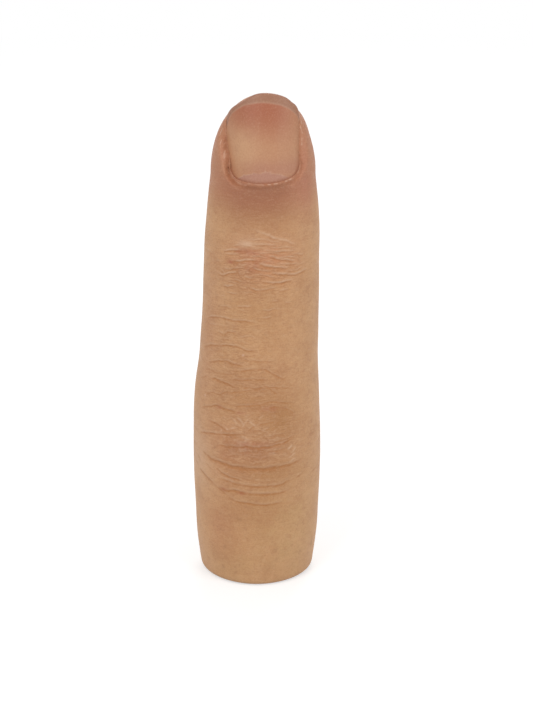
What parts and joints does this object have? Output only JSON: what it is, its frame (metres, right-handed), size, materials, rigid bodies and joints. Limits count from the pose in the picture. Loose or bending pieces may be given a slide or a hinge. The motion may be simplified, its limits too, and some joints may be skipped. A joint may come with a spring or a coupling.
{
  "type": "finger prosthesis",
  "caption": "Life-like silicone finger prosthesis with a suction socket, a hard nail and an inner armature that bends at two knuckles and stays where it is put.",
  "frame": {"origin": "centre of the socket mouth, on the plane of the base rim", "axes": "+Z from the socket mouth towards the fingertip, -Y towards the nail, +Y towards the palm side, +X across the finger"},
  "size_m": [0.0205, 0.018, 0.0793],
  "materials": {
    "silicone_skin": "satin",
    "liner_silicone": "gloss",
    "cup_resin": "satin",
    "steel": "brushed",
    "screw_steel": "satin",
    "brass": "satin",
    "washer_polymer": "matte",
    "foam": "matte",
    "nail_acrylic": "gloss",
    "nail_adhesive": "matte"
  },
  "bodies": {
    "base": {"skin_base": "silicone_skin", "pip_flex_zone": "silicone_skin", "suction_liner": "liner_silicone", "socket_cup": "cup_resin", "anchor_screws": "steel", "pip_fork": "steel", "pip_screw": "screw_steel", "pip_nut": "brass", "pip_washers": "washer_polymer"},
    "middle": {"skin_middle": "silicone_skin", "dip_flex_zone": "silicone_skin", "foam_middle": "foam", "middle_link": "steel", "dip_screw": "screw_steel", "dip_nut": "brass", "dip_washers": "washer_polymer"},
    "distal": {"skin_distal": "silicone_skin", "foam_distal": "foam", "distal_link": "steel", "nail_plate": "nail_acrylic", "nail_bond": "nail_adhesive"}
  },
  "joints": [
    {"name": "pip_hinge", "type": "hinge", "parent": "base", "child": "middle", "pos_m": [0, 0, 0.024], "axis": [-1, 0, 0], "range_deg": [0, 60], "deforming": ["pip_flex_zone"]},
    {"name": "dip_hinge", "type": "hinge", "parent": "middle", "child": "distal", "pos_m": [0, 0, 0.053], "axis": [-1, 0, 0], "range_deg": [0, 45], "deforming": ["dip_flex_zone"]}
  ]
}
